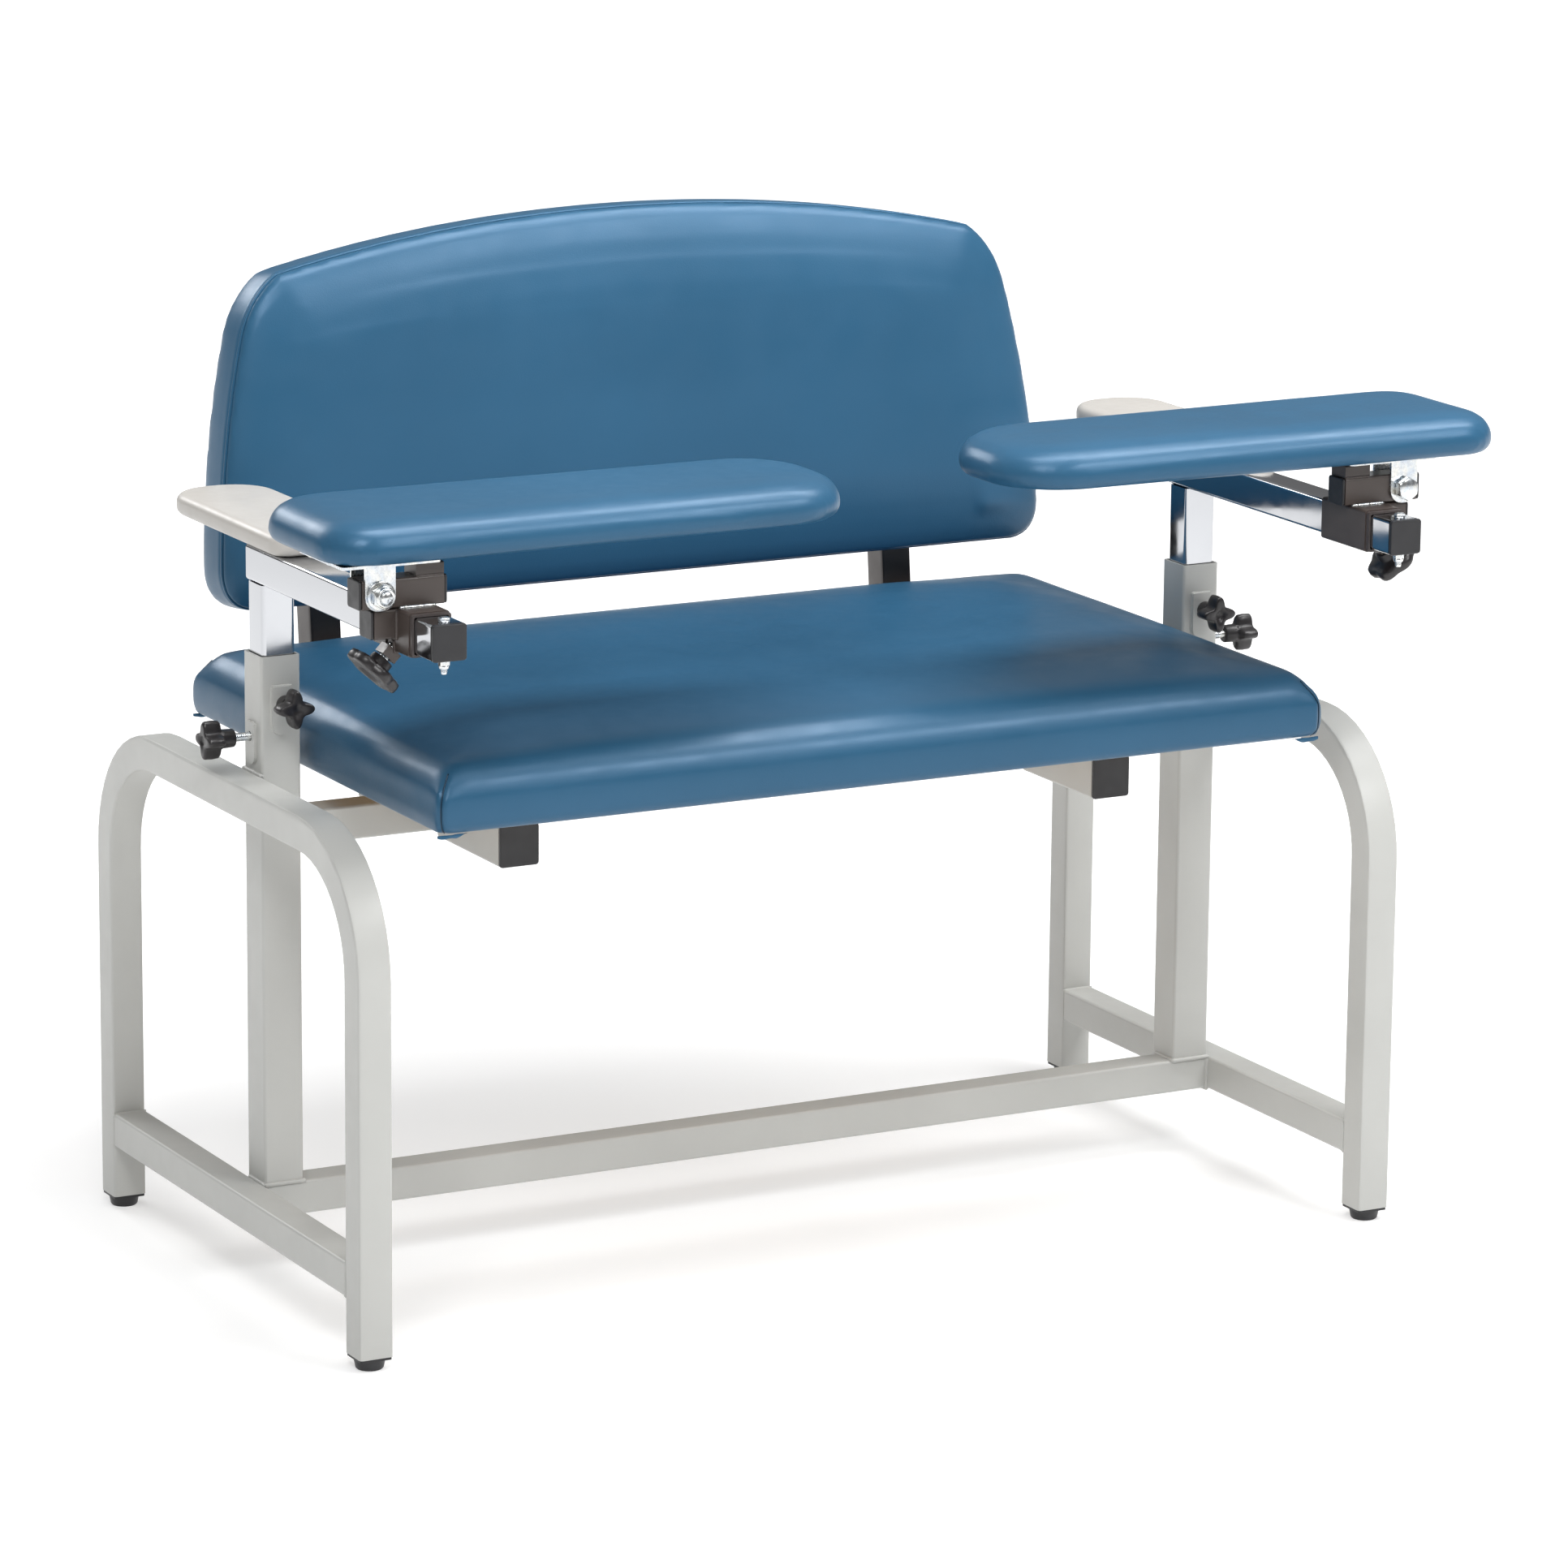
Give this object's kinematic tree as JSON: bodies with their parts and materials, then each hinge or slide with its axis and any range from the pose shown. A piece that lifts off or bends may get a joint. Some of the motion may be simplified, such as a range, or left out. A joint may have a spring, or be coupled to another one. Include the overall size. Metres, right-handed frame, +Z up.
{
  "type": "blood drawing chair",
  "caption": "Extra-wide blood-drawing chair: square-tube frame, padded seat and back, and on each side a height-adjustable arm with a sliding, flip-up padded armrest.",
  "frame": {"origin": "bottom centre of the bounding box, on the floor", "axes": "+X towards the right seen from the front, the chair faces -Y, +Z up"},
  "size_m": [1.166, 0.688, 0.911],
  "materials": {
    "frame_paint": "satin powder coat",
    "brown_paint": "semi-gloss powder coat",
    "chrome": "polished",
    "zinc": "zinc plated",
    "black_plastic": "satin",
    "vinyl": "satin vinyl",
    "board": "satin laminate",
    "plywood": "raw"
  },
  "bodies": {
    "frame": {"side_frame_left": "frame_paint", "side_frame_right": "frame_paint", "side_rail_left": "frame_paint", "side_rail_right": "frame_paint", "foot_front_left": "black_plastic", "foot_front_right": "black_plastic", "foot_rear_left": "black_plastic", "foot_rear_right": "black_plastic", "post_left": "frame_paint", "post_right": "frame_paint", "seat_rail_front_left": "frame_paint", "seat_rail_front_right": "frame_paint", "seat_rail_rear_left": "frame_paint", "seat_rail_rear_right": "frame_paint", "seat_rail_cap_left": "black_plastic", "seat_rail_cap_right": "black_plastic", "back_bracket_left": "brown_paint", "back_bracket_right": "brown_paint", "lower_cross_bar": "frame_paint", "seat_cross_bar": "frame_paint", "seat_cushion": "vinyl", "seat_board": "plywood", "back_cushion": "vinyl", "back_board": "black_plastic"},
    "arm_left_body": {"arm_inner_post_left": "chrome", "arm_tube_left": "chrome", "arm_tube_cap_left": "black_plastic", "stop_bolt_left": "zinc", "arm_board_left": "board"},
    "sleeve_left_body": {"sleeve_left": "brown_paint", "sleeve_liner_left": "black_plastic", "stub_cap_left": "black_plastic", "hinge_bar_left": "brown_paint", "hinge_bar_cap_in_left": "black_plastic", "hinge_bar_cap_out_left": "black_plastic", "hinge_bolt_left": "zinc"},
    "pad_left_body": {"pad_bracket_left": "zinc", "pad_board_left": "plywood", "arm_pad_left": "vinyl"},
    "post_knob_front_left_body": {"post_knob_front_left": "black_plastic"},
    "post_knob_side_left_body": {"post_knob_side_left": "black_plastic"},
    "sleeve_knob_left_body": {"sleeve_knob_left": "black_plastic"},
    "arm_right_body": {"arm_inner_post_right": "chrome", "arm_tube_right": "chrome", "arm_tube_cap_right": "black_plastic", "stop_bolt_right": "zinc", "arm_board_right": "board"},
    "sleeve_right_body": {"sleeve_right": "brown_paint", "sleeve_liner_right": "black_plastic", "stub_cap_right": "black_plastic", "hinge_bar_right": "brown_paint", "hinge_bar_cap_in_right": "black_plastic", "hinge_bar_cap_out_right": "black_plastic", "hinge_bolt_right": "zinc"},
    "pad_right_body": {"pad_bracket_right": "zinc", "pad_board_right": "plywood", "arm_pad_right": "vinyl"},
    "post_knob_front_right_body": {"post_knob_front_right": "black_plastic"},
    "post_knob_side_right_body": {"post_knob_side_right": "black_plastic"},
    "sleeve_knob_right_body": {"sleeve_knob_right": "black_plastic"}
  },
  "joints": [
    {"name": "arm_height_left", "type": "slide", "parent": "frame", "child": "arm_left_body", "axis": [0, 0, 1], "range_m": [-0.063, 0.058]},
    {"name": "sleeve_slide_left", "type": "slide", "parent": "arm_left_body", "child": "sleeve_left_body", "axis": [0, 1, 0], "range_m": [-0.018, 0.15]},
    {"name": "pad_flip_left", "type": "hinge", "parent": "sleeve_left_body", "child": "pad_left_body", "pos_m": [-0.535, -0.26647, 0.68693], "axis": [0, -1, 0], "range_deg": [0, 90]},
    {"name": "post_knob_front_turn_left", "type": "hinge", "parent": "frame", "child": "post_knob_front_left_body", "pos_m": [-0.4999, -0.01397, 0.5335], "axis": [0, -1, 0], "continuous": true},
    {"name": "post_knob_side_turn_left", "type": "hinge", "parent": "frame", "child": "post_knob_side_left_body", "pos_m": [-0.542, 0.02508, 0.5015], "axis": [-1, 0, 0], "continuous": true},
    {"name": "sleeve_knob_turn_left", "type": "hinge", "parent": "sleeve_left_body", "child": "sleeve_knob_left_body", "pos_m": [-0.53309, -0.26647, 0.62168], "axis": [-0.7071, 0, -0.7071], "continuous": true},
    {"name": "arm_height_right", "type": "slide", "parent": "frame", "child": "arm_right_body", "axis": [0, 0, 1], "range_m": [-0.0725, 0.0485]},
    {"name": "sleeve_slide_right", "type": "slide", "parent": "arm_right_body", "child": "sleeve_right_body", "axis": [0, 1, 0], "range_m": [-0.016, 0.08]},
    {"name": "pad_flip_right", "type": "hinge", "parent": "sleeve_right_body", "child": "pad_right_body", "pos_m": [0.481, -0.26847, 0.69642], "axis": [0, 1, 0], "range_deg": [0, 90]},
    {"name": "post_knob_front_turn_right", "type": "hinge", "parent": "frame", "child": "post_knob_front_right_body", "pos_m": [0.4459, -0.01397, 0.5335], "axis": [0, -1, 0], "continuous": true},
    {"name": "post_knob_side_turn_right", "type": "hinge", "parent": "frame", "child": "post_knob_side_right_body", "pos_m": [0.488, 0.02508, 0.5015], "axis": [1, 0, 0], "continuous": true},
    {"name": "sleeve_knob_turn_right", "type": "hinge", "parent": "sleeve_right_body", "child": "sleeve_knob_right_body", "pos_m": [0.47909, -0.26847, 0.63118], "axis": [0.7071, 0, -0.7071], "continuous": true}
  ]
}
